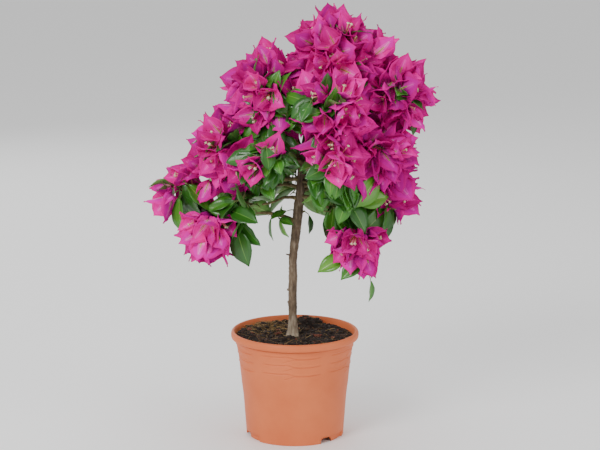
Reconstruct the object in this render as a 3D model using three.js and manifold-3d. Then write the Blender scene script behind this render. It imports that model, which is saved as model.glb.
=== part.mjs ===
// A bougainvillea grown as a small standard tree in a terracotta coloured plastic pot: one bare stem, boughs
// that fan out from its upper end, and a loose crown of blossom and leaves. Millimetres, +Z up, the origin
// under the middle of the pot, and the side that is seen first faces -Y.
import * as THREE from "three";
import { mergeVertices } from "three/addons/utils/BufferGeometryUtils.js";
import Module from "manifold-3d";

const wasm = await Module();
wasm.setup();

// The driving dimensions.
const clearance = 0.3; // between two pieces that touch
const roundSides = 36; // flats round the pot and the soil
const potHeight = 142;
const rimRadius = 85; // outside the lip
const footRadius = 64.8; // outside the wall where it stands
const wall = 1.8;
const lipHeight = 10.5;
const soilLevel = 133; // under the stem
const soilEdge = 77.3; // radius of its top, just inside the wall
const drain = { halfWidth: 10, height: 7.2, depth: 12, lean: 41.4, count: 3 }; // arches in the foot
const stemRadius = 5.3;
const bloomSize = {
  depth: 33, // from its foot to the tips of its bracts
  mouth: 24, // radius at the tips
  waist: 8.2, // radius half way up the middle of a bract
  waistUp: 15,
  edge: 16, // radius where two bracts meet at their edges
  edgeUp: 18.5,
  thick: 1.3,
  floor: 3.4,
};
const bloomScales = [1.25, 1.1, 0.95, 0.82]; // the first that fits is grown
const leafSize = { length: 45, width: 28, thick: 1.1, widest: 0.4, cup: 3, curl: -4 };
const leafScales = [1.2, 1.05, 0.9];
const tries = 320; // of a shoot in each mass
const backCone = -0.6; // shoots leave out the cone round the bough, by its cosine
const shootDepth = { least: 0.22, most: 0.66 }; // of a shoot's tip, as a share of the mass's reach
const spread = [0.8191725134, 0.6710436067, 0.5497004779]; // steps that fill a space evenly
const shootsPerReach = 0.17; // at most, for each millimetre a mass reaches
const shortestTwig = 6;
const leastForward = 0.35; // how nearly a shoot leaves its fork along its own way, as a cosine
const footVolume = 5; // mm3, of a twig's foot inside the one it grows from

const up = new THREE.Vector3(0, 0, 1);
const point = (x, y, z) => new THREE.Vector3(x, y, z);
const mix = THREE.MathUtils.lerp;
const radians = THREE.MathUtils.degToRad;

const paint = {
  pot: new THREE.MeshStandardMaterial({ color: 0xc9774f, roughness: 0.62, metalness: 0 }),
  soil: new THREE.MeshStandardMaterial({ color: 0x33231a, roughness: 0.95, metalness: 0 }),
  bark: new THREE.MeshStandardMaterial({ color: 0x7a6750, roughness: 0.85, metalness: 0 }),
  blossom: new THREE.MeshStandardMaterial({ color: 0xc8157f, roughness: 0.6, metalness: 0 }),
  leaves: new THREE.MeshStandardMaterial({ color: 0x2f6b24, roughness: 0.45, metalness: 0 }),
};

// The stem rises from the soil with a slight lean, and its girth is given at the same heights.
const stemLine = new THREE.CatmullRomCurve3(
  [
    point(-2.7, 0, soilLevel + clearance),
    point(-2.8, 0, 165),
    point(-2.6, 1, 200),
    point(-2.2, 1, 240),
    point(2, 1, 280),
    point(5.5, 0, 315),
    point(8.5, 0, 345),
    point(11.5, 2, 384),
  ],
  false,
  "centripetal",
);
const stemGirth = [
  { at: 0, radius: 8.4 },
  { at: 0.03, radius: 6.4 },
  { at: 0.09, radius: stemRadius + 0.2 },
  { at: 0.45, radius: stemRadius },
  { at: 0.68, radius: stemRadius + 1 },
  { at: 0.8, radius: stemRadius + 0.2 },
  { at: 1, radius: 4.3 },
];
const stemSegments = 16;
const stemSides = 12;
const snags = [
  { height: 242, turn: 176, length: 10, radius: 1.5 },
  { height: 195, turn: 190, length: 8, radius: 2.6 },
  { height: 178, turn: 170, length: 7.4, radius: 2.4 },
  { height: 300, turn: 8, length: 10, radius: 2 },
];

// The masses of the crown: what each bears, its middle, how far it reaches along X, Y and Z, the height at
// which its bough leaves the stem, and how far the bough arches. Where a bough doesn't come in straight from
// the stem, enter is the way from the mass's middle to the place where it does.
const crown = [
  { name: "top", bears: "blossom", middle: [56, 0, 518], reach: [62, 60, 62], leaves: 384, arch: 8 },
  { name: "top_right", bears: "blossom", middle: [132, -4, 462], reach: [59, 58, 52], leaves: 379, arch: 10 },
  { name: "upper_left", bears: "blossom", middle: [-38, -18, 472], reach: [60, 58, 52], leaves: 381, arch: 4 },
  { name: "front_high", bears: "blossom", middle: [48, -74, 452], reach: [56, 50, 52], leaves: 376, arch: 5 },
  { name: "back_top", bears: "blossom", middle: [25, 76, 465], reach: [60, 54, 56], leaves: 377, arch: 5 },
  { name: "left", bears: "blossom", middle: [-90, -15, 392], reach: [53, 58, 56], leaves: 362, arch: 10 },
  { name: "right", bears: "blossom", middle: [112, -22, 384], reach: [57, 58, 54], leaves: 356, arch: 8 },
  { name: "front_left", bears: "blossom", middle: [-42, -84, 380], reach: [50, 48, 46], leaves: 368, arch: 4 },
  { name: "front_right", bears: "blossom", middle: [46, -92, 384], reach: [50, 50, 50], leaves: 365, arch: 4 },
  { name: "back_left", bears: "blossom", middle: [-58, 78, 398], reach: [60, 56, 54], leaves: 369, arch: 6 },
  { name: "back_right", bears: "blossom", middle: [88, 80, 394], reach: [60, 56, 54], leaves: 366, arch: 6 },
  { name: "far_left", bears: "blossom", middle: [-154, 2, 338], reach: [43, 40, 42], leaves: 346, arch: -8 },
  { name: "right_low", bears: "blossom", middle: [126, 2, 322], reach: [44, 48, 44], leaves: 336, arch: 6 },
  {
    name: "back_low_left",
    bears: "blossom",
    middle: [-72, 66, 324],
    reach: [52, 50, 44],
    leaves: 333,
    arch: 6,
  },
  {
    name: "back_low_right",
    bears: "blossom",
    middle: [78, 72, 318],
    reach: [52, 50, 44],
    leaves: 328,
    arch: 6,
  },
  {
    name: "hanging_left",
    bears: "blossom",
    middle: [-112, -32, 276],
    reach: [44, 46, 46],
    leaves: 288,
    arch: 8,
    enter: [0.75, 0.2, 0.6],
  },
  {
    name: "hanging_right",
    bears: "blossom",
    middle: [80, -38, 264],
    reach: [46, 46, 42],
    leaves: 322,
    arch: 10,
    enter: [-0.5, 0.1, 0.85],
  },
  { name: "centre", bears: "leaves", middle: [-14, -42, 426], reach: [50, 42, 40], leaves: 383, arch: 0 },
  { name: "low_left", bears: "leaves", middle: [-66, -24, 322], reach: [46, 50, 50], leaves: 318, arch: 5 },
  { name: "low_right", bears: "leaves", middle: [56, -48, 330], reach: [52, 48, 44], leaves: 342, arch: 4 },
  { name: "low_back", bears: "leaves", middle: [4, 70, 334], reach: [48, 46, 46], leaves: 324, arch: 5 },
];
const boughSides = 5;
const boughSegments = 5;
const boughRadius = { leader: 4.1, thick: 2.9, thin: 2.1, tip: 1.6 };
const farReach = 90; // a mass that reaches this far has the thickest bough
const boughBend = { at: 0.45, rise: 0.08 }; // where a bough bends, and how far it rises there for its length
const massStem = { beyond: 0.1, forks: [0.3, 0.45, 0.6, 0.75, 0.9, 0.98] }; // past the middle, and its forks
const shootForks = [0.4, 0.75]; // where later shoots may leave an earlier one
const bloomOpening = { least: 0.82, most: 1.12 };
const bloomTurns = [0, 0.7, 1.4]; // radians, tried in turn
const leafPlaces = [1, 0.7, 0.4]; // on a shoot, from its tip
const leafLean = { tip: 18, least: 45, most: 65, droop: 0.2 };
const leafRoot = { tip: -3, side: -0.8 }; // sunk into the twig by this
const twigRadius = { foot: 1, tip: 0.9 };

// Random numbers that come out the same each time for one seed.
function seeded(seed) {
  let state = seed;
  return () => {
    state = (Math.imul(state, 1664525) + 1013904223) >>> 0;
    return state / 2 ** 32;
  };
}

// A closed geometry, with only its corners and faces, as a solid that can be joined and cut.
function solidFrom(geometry) {
  const bare = new THREE.BufferGeometry().setAttribute("position", geometry.getAttribute("position"));
  bare.setIndex(geometry.index);
  const merged = mergeVertices(bare, 1e-4);
  const faces = [];
  for (let i = 0; i < merged.index.count; i += 3) {
    const [a, b, c] = [0, 1, 2].map((k) => merged.index.getX(i + k));
    if (a !== b && b !== c && c !== a) faces.push(a, b, c);
  }
  return new wasm.Manifold(
    new wasm.Mesh({
      numProp: 3,
      vertProperties: new Float32Array(merged.getAttribute("position").array),
      triVerts: new Uint32Array(faces),
    }),
  );
}

// The outer skin of the largest piece: sealed hollows are filled and loose scraps dropped.
function outerSkin(solid) {
  return solid.decompose().reduce((best, piece) => (piece.volume() > best.volume() ? piece : best));
}

function geometryFrom(solid) {
  const mesh = solid.getMesh();
  return new THREE.BufferGeometry()
    .setAttribute("position", new THREE.BufferAttribute(mesh.vertProperties, 3))
    .setIndex(new THREE.BufferAttribute(mesh.triVerts, 1));
}

function node(name, solid, material) {
  const geometry = geometryFrom(solid).toNonIndexed();
  geometry.computeVertexNormals();
  const mesh = new THREE.Mesh(geometry, material);
  mesh.name = name;
  return mesh;
}

// A closed ring of the given profile, of radius and height, turned about Z.
function turned(profile) {
  const ring = new THREE.LatheGeometry(
    profile.map(([r, z]) => new THREE.Vector2(r, z)),
    roundSides,
  );
  return ring.rotateX(Math.PI / 2);
}

// A bar bent along a curve. radiusAt gives its radius from 0 at the foot to 1 at the tip.
function limb(line, radiusAt, sides, segments) {
  const bar = new THREE.CylinderGeometry(1, 1, 1, sides, segments);
  const frames = line.computeFrenetFrames(segments, false);
  const corner = bar.getAttribute("position");
  for (let i = 0; i < corner.count; i++) {
    const step = Math.round((corner.getY(i) + 0.5) * segments);
    const radius = radiusAt(step / segments);
    const place = line
      .getPointAt(step / segments)
      .addScaledVector(frames.normals[step], corner.getX(i) * radius)
      .addScaledVector(frames.binormals[step], -corner.getZ(i) * radius);
    corner.setXYZ(i, place.x, place.y, place.z);
  }
  return solidFrom(bar);
}

const taper = (from, to) => (t) => mix(from, to, t);

function girthAt(t, extra = 0) {
  const next = Math.max(1, stemGirth.findIndex((g) => g.at >= t));
  const [a, b] = [stemGirth[next - 1], stemGirth[next]];
  return mix(a.radius, b.radius, (t - a.at) / (b.at - a.at)) + extra;
}

// The pot: a thin wall that flares to a rounded lip, a flat middle to stand on, and a raised ring behind the
// foot that the drain arches open into.
function makePot() {
  const lipFoot = potHeight - lipHeight;
  const ringFloor = drain.height + 0.8;
  const outside = [
    [footRadius, 0],
    [70.4, 78],
    [75.2, 110],
    [rimRadius - 5.6, lipFoot],
  ];
  const lip = [
    [rimRadius - 1.8, lipFoot + 0.3],
    [rimRadius - 0.3, lipFoot + 2.3],
    [rimRadius, lipFoot + 5.5],
    [rimRadius - 0.7, potHeight - 2],
    [rimRadius - 3.4, potHeight],
    [rimRadius - 4.8, potHeight - 1],
  ];
  const inside = [
    [77.9, soilLevel],
    [77, soilLevel - 5],
    [73.4, 110],
    [68.6, 78],
    [63.8, ringFloor + 2],
    [44, ringFloor + 2],
    [41.6, 2],
    [0, 2],
  ];
  const underneath = [
    [0, 0],
    [43.4, 0],
    [45.8, ringFloor],
    [62.4, ringFloor],
    [footRadius - wall, 0],
  ];
  let pot = solidFrom(turned([...underneath, ...outside, ...lip, ...inside]));
  for (let i = 0; i < drain.count; i++) {
    const arch = new THREE.CylinderGeometry(1, 1, drain.depth, 10);
    arch.scale(drain.halfWidth, 1, drain.height);
    arch.translate(0, footRadius - 1, 0);
    arch.rotateZ(Math.PI + radians(drain.lean + (360 / drain.count) * i));
    pot = pot.subtract(solidFrom(arch));
  }
  return { solid: pot, inside };
}

// How high the soil lies: low lumps, a rise towards the wall, a clod at the back, and level under the stem.
function soilHeight(x, y) {
  const away = Math.hypot(x, y);
  const lumps = 1.6 * Math.sin(x * 0.17 + 1) * Math.cos(y * 0.15) + 1.1 * Math.sin(x * 0.31 + y * 0.27);
  const clod = 9 * Math.exp(-(((x - 14) / 17) ** 2) - ((y - 60) / 13) ** 2);
  const rise = 2 * THREE.MathUtils.smoothstep(away, 20, 60) * (1.2 - x / 100);
  const level = THREE.MathUtils.smoothstep(away, 11, 26);
  return soilLevel + (lumps + clod + rise) * level;
}

function makeSoil(potInside) {
  const side = [...potInside]
    .reverse()
    .map(([r, z]) => [Math.max(0, r - clearance), z + (r < soilEdge - 10 ? clearance : 0)]);
  side.pop();
  const rings = [soilEdge, 68, 58, 47, 36, 24, 11, 0].map((r) => [r, soilLevel]);
  const plug = turned([...side, ...rings]);
  const corner = plug.getAttribute("position");
  for (let i = 0; i < corner.count; i++)
    if (Math.abs(corner.getZ(i) - soilLevel) < 0.01)
      corner.setZ(i, soilHeight(corner.getX(i), corner.getY(i)));
  return solidFrom(plug);
}

function makeStem(extra = 0) {
  let stem = limb(stemLine, (t) => girthAt(t, extra), stemSides, stemSegments);
  for (const snag of snags) {
    const foot = stemAt(snag.height);
    const out = point(Math.cos(radians(snag.turn)), Math.sin(radians(snag.turn)), 0.25).normalize();
    const line = new THREE.LineCurve3(foot, foot.clone().addScaledVector(out, snag.length));
    stem = stem.add(limb(line, taper(snag.radius + extra, 0.8 + extra), 5, 1));
  }
  return stem;
}

// The middle of the stem at a height.
function stemAt(height) {
  let [low, high] = [0, 1];
  for (let i = 0; i < 30; i++) {
    const t = (low + high) / 2;
    if (stemLine.getPointAt(t).z < height) low = t;
    else high = t;
  }
  return stemLine.getPointAt(low);
}

// How far a mass reaches from its middle along a direction.
function reachAlong(mass, way) {
  const [a, b, c] = mass.reach;
  return 1 / Math.hypot(way.x / a, way.y / b, way.z / c);
}

const isLeader = (mass) => mass.leaves >= stemLine.points.at(-1).z;

// A bough leaves the stem, arches, and ends where it enters its mass. The leader goes on from the stem's tip.
function boughLine(mass) {
  const leader = isLeader(mass);
  const foot = stemAt(mass.leaves);
  const middle = point(...mass.middle);
  if (leader) foot.addScaledVector(stemLine.getTangentAt(1), clearance);
  const way = mass.enter ? point(...mass.enter).normalize() : foot.clone().sub(middle).normalize();
  const tip = middle.clone().addScaledVector(way, reachAlong(mass, way));
  const span = foot.distanceTo(tip);
  const bend = leader
    ? foot.clone().addScaledVector(stemLine.getTangentAt(1), span / 2)
    : foot.clone().lerp(tip, boughBend.at).add(point(0, 0, mass.arch + span * boughBend.rise));
  return new THREE.QuadraticBezierCurve3(foot, bend, tip);
}

function boughTaper(mass, extra = 0) {
  const span = Math.min(1, Math.hypot(...mass.reach) / farReach);
  const foot = isLeader(mass) ? boughRadius.leader : mix(boughRadius.thin, boughRadius.thick, span);
  return taper(foot + extra, boughRadius.tip + extra);
}

// The planes that part a mass from its neighbours, each as a point and the way to the neighbour.
function borders(mass) {
  const middle = point(...mass.middle);
  return crown
    .filter((other) => other !== mass)
    .map((other) => {
      const way = point(...other.middle).sub(middle);
      const apart = way.length();
      way.normalize();
      const mine = reachAlong(mass, way);
      const share = mine / (mine + reachAlong(other, way));
      return { way, at: middle.clone().addScaledVector(way, apart * share) };
    });
}

// True if every corner lies inside the mass's reach and on its own side of each border.
function keepsToSpace(space, corners, margin) {
  return corners.every((corner) => {
    const from = corner.clone().sub(space.middle);
    if (from.length() + margin > reachAlong(space.mass, from.clone().normalize())) return false;
    return space.borders.every(({ way, at }) => way.dot(corner.clone().sub(at)) < -margin);
  });
}

// A bloom on its twig: three bracts, edge to edge, that open into a cup. It is a ball of six columns, in turn
// the middle of a bract and the seam it shares with the next. Its rows run from the floor of the cup over the
// rim and down the outside to the three-sided twig.
function bloomGeometry(scale, opening, twigLength) {
  const { depth, mouth, waist, waistUp, edge, edgeUp, thick, floor } = bloomSize;
  const flower = (radius, height) => [radius * scale * opening, height * scale];
  const seam = flower(edge, edgeUp);
  const twig = [[twigRadius.tip, 0.5], [twigRadius.foot, -twigLength], [0, -twigLength]];
  const rows = [
    [flower(0, floor), flower(0, floor)],
    [flower(waist - thick * 0.8, waistUp + thick * 0.5), seam],
    [flower(mouth, depth), seam],
    [flower(waist, waistUp), seam],
    ...twig.map((place) => [place, place]),
  ];
  const columns = 6;
  const ball = new THREE.SphereGeometry(1, columns, rows.length - 1);
  const corner = ball.getAttribute("position");
  for (let i = 0; i < corner.count; i++) {
    const row = Math.floor(i / (columns + 1));
    const column = (i % (columns + 1)) % columns;
    const isTwig = row > 3;
    const [radius, height] = rows[row][column % 2];
    const turn = Math.PI * (1 + (isTwig ? column - (column % 2) : column) / 3);
    corner.setXYZ(i, radius * Math.cos(turn), radius * Math.sin(turn), height);
  }
  return ball;
}

// A leaf of eight faces: root, tip, two sides, and a middle above and below. x runs from root to tip, y across
// and z out of the face. The sides bend up and the tip curls.
function leafGeometry(scale) {
  const { length, width, thick, widest, cup, curl } = leafSize;
  const leaf = new THREE.OctahedronGeometry(1);
  const corner = leaf.getAttribute("position");
  for (let i = 0; i < corner.count; i++) {
    const [x, y, z] = [corner.getX(i), corner.getY(i), corner.getZ(i)];
    const along = x > 0.5 ? length : x < -0.5 ? 0 : length * widest;
    const lift = y * y * cup + (x > 0.5 ? curl : 0);
    corner.setXYZ(i, along * scale, (y * width * scale) / 2, (z * thick) / 2 + lift * scale);
  }
  return leaf;
}

// Moves a geometry to a root, its x axis along a way and its z axis turned to a face.
function placed(geometry, root, way, face) {
  const across = new THREE.Vector3().crossVectors(face, way).normalize();
  const normal = new THREE.Vector3().crossVectors(way, across).normalize();
  return geometry.applyMatrix4(new THREE.Matrix4().makeBasis(way, across, normal).setPosition(root));
}

function cornersOf(geometry) {
  const corner = geometry.getAttribute("position");
  return Array.from({ length: corner.count }, (_, i) => new THREE.Vector3().fromBufferAttribute(corner, i));
}

// A solid with its box, so that pieces far apart are passed over quickly.
function boxed(solid) {
  const { min, max } = solid.boundingBox();
  return { solid, box: new THREE.Box3(point(...min), point(...max)) };
}

function isFree(piece, others) {
  return others
    .filter((other) => piece.box.intersectsBox(other.box))
    .every((other) => piece.solid.intersect(other.solid).isEmpty());
}

// The geometry as a piece, if it keeps to the mass's space and touches no limb and no earlier piece. It may
// touch the shoot it grows from, by no more than its foot.
function fits(space, geometry, earlier, parent) {
  if (!keepsToSpace(space, cornersOf(geometry), clearance / 2)) return null;
  const piece = boxed(solidFrom(geometry));
  const others = earlier.filter((other) => other !== parent);
  if (!isFree(piece, limbRoom) || !isFree(piece, others)) return null;
  return parent && piece.solid.intersect(parent.solid).volume() > footVolume ? null : piece;
}

// The nearest place on the stem or on an earlier shoot that a shoot to the tip can grow from.
function forkFor(space, tip, way) {
  let best = null;
  for (const fork of space.forks) {
    const apart = fork.at.distanceTo(tip);
    const along = tip.clone().sub(fork.at).dot(way) / apart;
    const cost = apart * (2 - along);
    if (apart < shortestTwig || along < leastForward) continue;
    if (!best || cost < best.cost) best = { ...fork, cost };
  }
  return best;
}

// Two directions square to one.
function squareTo(way) {
  const helper = Math.abs(way.z) < 0.9 ? up : point(1, 0, 0);
  const first = new THREE.Vector3().crossVectors(way, helper).normalize();
  return [first, new THREE.Vector3().crossVectors(way, first).normalize()];
}

// A way turned from an axis by an angle, towards a turn round it.
function leaning(axis, angle, turn) {
  const [first, second] = squareTo(axis);
  return axis
    .clone()
    .multiplyScalar(Math.cos(angle))
    .addScaledVector(first, Math.sin(angle) * Math.cos(turn))
    .addScaledVector(second, Math.sin(angle) * Math.sin(turn))
    .normalize();
}

// A flowering shoot, or nothing if none of a few sizes and turns fits.
function bloomOn(space, from, tip, axis, parent, random) {
  const opening = mix(bloomOpening.least, bloomOpening.most, random());
  const turn = random() * 2 * Math.PI;
  for (const scale of bloomScales)
    for (const more of bloomTurns) {
      const side = leaning(axis, Math.PI / 2, turn + more);
      const flower = bloomGeometry(scale, opening, from.distanceTo(tip)).rotateY(Math.PI / 2);
      const bloom = fits(space, placed(flower, tip, axis, side), space.pieces, parent);
      if (bloom) return bloom;
    }
  return null;
}

// A leafy shoot: one leaf at the tip of its twig and one on each side below it, drooping a little.
function leavesOn(space, from, tip, axis, parent, random) {
  const line = new THREE.LineCurve3(from, tip);
  const twig = boxed(limb(line, taper(twigRadius.foot, twigRadius.tip), 3, 1));
  const others = space.pieces.filter((other) => other !== parent);
  if (!isFree(twig, limbRoom) || !isFree(twig, others)) return null;
  const turn = random() * 2 * Math.PI;
  const leaves = [];
  leafPlaces.forEach((at, k) => {
    const lean = radians(k === 0 ? leafLean.tip : mix(leafLean.least, leafLean.most, random()));
    const way = leaning(axis, lean, turn + k * Math.PI);
    way.z -= leafLean.droop;
    way.normalize();
    const face = Math.abs(way.z) < 0.85 ? up : axis;
    const root = line.getPointAt(at).addScaledVector(way, k === 0 ? leafRoot.tip : leafRoot.side);
    for (const scale of leafScales) {
      const leaf = fits(space, placed(leafGeometry(scale), root, way, face), [...space.pieces, ...leaves]);
      if (!leaf) continue;
      leaves.push(leaf);
      break;
    }
  });
  return leaves.length ? boxed(wasm.Manifold.union([twig, ...leaves].map((piece) => piece.solid))) : null;
}

// A mass: a stem that goes on from the bough, and shoots spread evenly through its reach. A shoot that would
// leave the space or touch a limb or another shoot is left out.
function makeMass(mass, seed) {
  const bough = boughLine(mass);
  const middle = point(...mass.middle);
  const space = { mass, middle, borders: borders(mass), pieces: [] };
  const into = bough.getTangentAt(1);
  const foot = bough.getPointAt(1).addScaledVector(into, clearance);
  const outward = middle.clone().sub(foot).normalize();
  const end = middle.clone().addScaledVector(outward, reachAlong(mass, outward) * massStem.beyond);
  const bend = foot.clone().addScaledVector(into, foot.distanceTo(end) / 2);
  const stemCurve = new THREE.QuadraticBezierCurve3(foot, bend, end);
  const stem = limb(stemCurve, taper(boughRadius.tip, boughRadius.tip - 0.2), 4, 3);

  space.forks = massStem.forks.map((t) => ({ at: stemCurve.getPointAt(t) }));
  const grow = mass.bears === "blossom" ? bloomOn : leavesOn;
  const most = Math.round(((mass.reach[0] + mass.reach[1] + mass.reach[2]) / 3) * shootsPerReach);
  for (let k = 0; k < tries && space.pieces.length < most; k++) {
    const [lean, turn, deep] = spread.map((step) => (k * step) % 1);
    const way = leaning(outward, Math.acos(mix(1, backCone, lean)), seed + turn * 2 * Math.PI);
    const depth = mix(shootDepth.least, shootDepth.most, deep);
    const tip = middle.clone().addScaledVector(way, reachAlong(mass, way) * depth);
    const fork = forkFor(space, tip, way);
    if (!fork) continue;
    const axis = tip.clone().sub(fork.at).normalize();
    const from = fork.at.clone().addScaledVector(axis, fork.parent ? 0.3 : boughRadius.tip * 0.45);
    const shoot = grow(space, from, tip, axis, fork.parent, seeded(seed * 97 + k * 31 + 7));
    if (!shoot) continue;
    space.pieces.push(shoot);
    for (const t of shootForks) space.forks.push({ at: from.clone().lerp(tip, t), parent: shoot });
  }
  return outerSkin(wasm.Manifold.union([stem, ...space.pieces.map((piece) => piece.solid)]));
}

const limbSpare = clearance + 0.15; // a bough is cut this far from the stem's facets
// Each bough is cut clear of the stem and of the boughs before it, so that one that crosses forks from it.
const boughs = [];
const limbRoom = [boxed(makeStem(limbSpare))];
for (const mass of crown) {
  let bough = limb(boughLine(mass), boughTaper(mass), boughSides, boughSegments);
  for (const earlier of limbRoom) if (!isFree(boxed(bough), [earlier])) bough = bough.subtract(earlier.solid);
  boughs.push({ name: "bough_" + mass.name, solid: outerSkin(bough) });
  limbRoom.push(boxed(limb(boughLine(mass), boughTaper(mass, limbSpare), boughSides, boughSegments)));
}

const { solid: potSolid, inside: potInside } = makePot();
const plant = new THREE.Group();
plant.name = "potted_bougainvillea";
plant.add(node("pot", potSolid, paint.pot));
plant.add(node("soil", makeSoil(potInside), paint.soil));
plant.add(node("trunk", makeStem(), paint.bark));
for (const bough of boughs) plant.add(node(bough.name, bough.solid, paint.bark));
crown.forEach((mass, i) => {
  plant.add(node(mass.bears + "_" + mass.name, makeMass(mass, 11 + i * 5), paint[mass.bears]));
});

export default plant;
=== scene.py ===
import bmesh
import bpy
import math
import random
import numpy as np
from mathutils import Matrix, Vector, noise


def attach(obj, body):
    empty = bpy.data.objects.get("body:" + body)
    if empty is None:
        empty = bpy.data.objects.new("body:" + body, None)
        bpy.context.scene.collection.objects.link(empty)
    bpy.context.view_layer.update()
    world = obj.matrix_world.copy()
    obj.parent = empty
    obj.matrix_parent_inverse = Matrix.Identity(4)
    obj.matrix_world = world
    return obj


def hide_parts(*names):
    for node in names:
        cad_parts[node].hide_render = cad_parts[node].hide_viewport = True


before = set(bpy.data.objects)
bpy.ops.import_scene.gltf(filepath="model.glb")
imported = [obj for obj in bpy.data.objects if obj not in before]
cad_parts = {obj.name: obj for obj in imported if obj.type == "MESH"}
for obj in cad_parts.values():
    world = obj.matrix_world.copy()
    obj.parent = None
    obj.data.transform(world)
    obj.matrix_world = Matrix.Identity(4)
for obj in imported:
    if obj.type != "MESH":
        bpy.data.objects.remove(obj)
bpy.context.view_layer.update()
print("frame loaded:", len(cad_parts), "nodes")

mm = 0.001
up = Vector((0, 0, 1))


def mix(a, b, t):
    return a + (b - a) * t


def smooth(low, high, value):
    t = min(1, max(0, (value - low) / (high - low)))
    return t * t * (3 - 2 * t)


def linear(red, green, blue):  # a colour as pictures give it, 0 to 255, made into one for the shaders
    def one(value):
        value /= 255
        return value / 12.92 if value <= 0.04045 else ((value + 0.055) / 1.055) ** 2.4
    return (one(red), one(green), one(blue))


class Value:  # a socket, so that shader maths reads as Python
    def __init__(self, tree, socket):
        self.tree = tree
        self.socket = socket

    def maths(self, operation, first, second):
        made = self.tree.nodes.new("ShaderNodeMath")
        made.operation = operation
        for i, item in enumerate((first, second)):
            if isinstance(item, Value):
                self.tree.links.new(item.socket, made.inputs[i])
            else:
                made.inputs[i].default_value = item
        return Value(self.tree, made.outputs[0])

    def __add__(self, other):
        return self.maths("ADD", self, other)

    def __radd__(self, other):
        return self.maths("ADD", other, self)

    def __sub__(self, other):
        return self.maths("SUBTRACT", self, other)

    def __rsub__(self, other):
        return self.maths("SUBTRACT", other, self)

    def __mul__(self, other):
        return self.maths("MULTIPLY", self, other)

    def __rmul__(self, other):
        return self.maths("MULTIPLY", other, self)


class Finish:  # one material and the nodes that shape it
    def __init__(self, name, colour, roughness, **plain):
        self.material = bpy.data.materials.new(name)
        self.material.use_nodes = True
        self.tree = self.material.node_tree
        self.shader = self.tree.nodes["Principled BSDF"]
        self.shader.inputs["Base Color"].default_value = (*colour, 1)
        self.shader.inputs["Roughness"].default_value = roughness
        for socket, value in plain.items():
            self.shader.inputs[socket.replace("_", " ")].default_value = value

    def node(self, kind, settings=None, output=0, **sockets):
        made = self.tree.nodes.new("ShaderNode" + kind)
        for name, value in (settings or {}).items():
            if name == "stops":
                for i, (place, colour) in enumerate(value):
                    stop = made.color_ramp.elements[i] if i < 2 else made.color_ramp.elements.new(place)
                    stop.position = place
                    stop.color = (*linear(*colour), 1)
            else:
                setattr(made, name, value)
        for name, value in sockets.items():
            socket = made.inputs[name.replace("_", " ")]
            if isinstance(value, Value):
                self.tree.links.new(value.socket, socket)
            else:
                socket.default_value = value
        return Value(self.tree, made.outputs[output])

    def cloud(self, scale, detail, roughness, stretch=(1, 1, 1)):  # a noise through the piece
        place = self.node("Mapping", Vector=self.node("TexCoord", output=3), Scale=stretch)
        return self.node("TexNoise", Vector=place, Scale=scale, Detail=detail, Roughness=roughness)

    def feed(self, socket, value):
        self.tree.links.new(value.socket, self.shader.inputs[socket])

    def bump(self, height, strength, distance):
        self.feed("Normal", self.node("Bump", Height=height, Strength=strength, Distance=distance))

    def colourBy(self, value, *stops):  # the base colour by a value, from stops of a place and a colour
        self.feed("Base Color", self.node("ValToRGB", {"stops": stops}, Fac=value))


# The camera stands 3 m in front of the pot and looks down at it a little.
viewpoint = {
    "away": 3.0,
    "side": 0.0068,
    "height": 0.9125,
    "pitch": 11.83,
    "focal": 2324.7,  # in pixels of the frame
    "frame": (600, 450),
    "sensor": 36,
}
lens = bpy.data.cameras.new("photoView")
lens.sensor_width = viewpoint["sensor"]
lens.lens = viewpoint["sensor"] * viewpoint["focal"] / viewpoint["frame"][0]
lens.clip_end = 50
camera = bpy.data.objects.new("photoView", lens)
camera.location = (viewpoint["side"], -viewpoint["away"], viewpoint["height"])
camera.rotation_euler = (math.radians(90 - viewpoint["pitch"]), 0, 0)
bpy.context.scene.collection.objects.link(camera)
bpy.context.scene.camera = camera


studio = {
    "key": {"at": (-1.3, -1.9, 1.7), "size": 1.2, "power": 46},
    "fill": {"at": (1.9, -1.5, 1.0), "size": 1.8, "power": 14},
    "crown": {"at": (0.1, 0.3, 2.2), "size": 1.6, "power": 12},
    "back": {"at": (-0.8, 1.9, 1.2), "size": 1.6, "power": 10},
    "sky": 0.8,
    "aim": (0, 0, 0.3),
}
for lampName in ("key", "fill", "crown", "back"):
    facts = studio[lampName]
    lamp = bpy.data.lights.new(lampName + "Light", "AREA")
    lamp.shape = "DISK"
    lamp.size = facts["size"]
    lamp.energy = facts["power"]
    light = bpy.data.objects.new(lampName + "Light", lamp)
    light.location = facts["at"]
    aim = Vector(studio["aim"]) - light.location
    light.rotation_euler = aim.to_track_quat("-Z", "Y").to_euler()
    bpy.context.scene.collection.objects.link(light)
world = bpy.data.worlds.new("studioWorld")
world.use_nodes = True
world.node_tree.nodes["Background"].inputs["Color"].default_value = (1, 1, 1, 1)
world.node_tree.nodes["Background"].inputs["Strength"].default_value = studio["sky"]
bpy.context.scene.world = world


def addPiece(name, mesh, materials, smoothShade=True):
    for material in materials:
        mesh.materials.append(material)
    mesh.polygons.foreach_set("use_smooth", np.full(len(mesh.polygons), smoothShade))
    mesh.update()
    piece = bpy.data.objects.new(name, mesh)
    bpy.context.scene.collection.objects.link(piece)
    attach(piece, "root")
    print(name, "made:", len(mesh.polygons), "faces")
    return piece


def meshFrom(name, bm):
    bmesh.ops.scale(bm, vec=(mm, mm, mm), verts=bm.verts)
    mesh = bpy.data.meshes.new(name)
    bm.to_mesh(mesh)
    bm.free()
    return mesh


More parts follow.
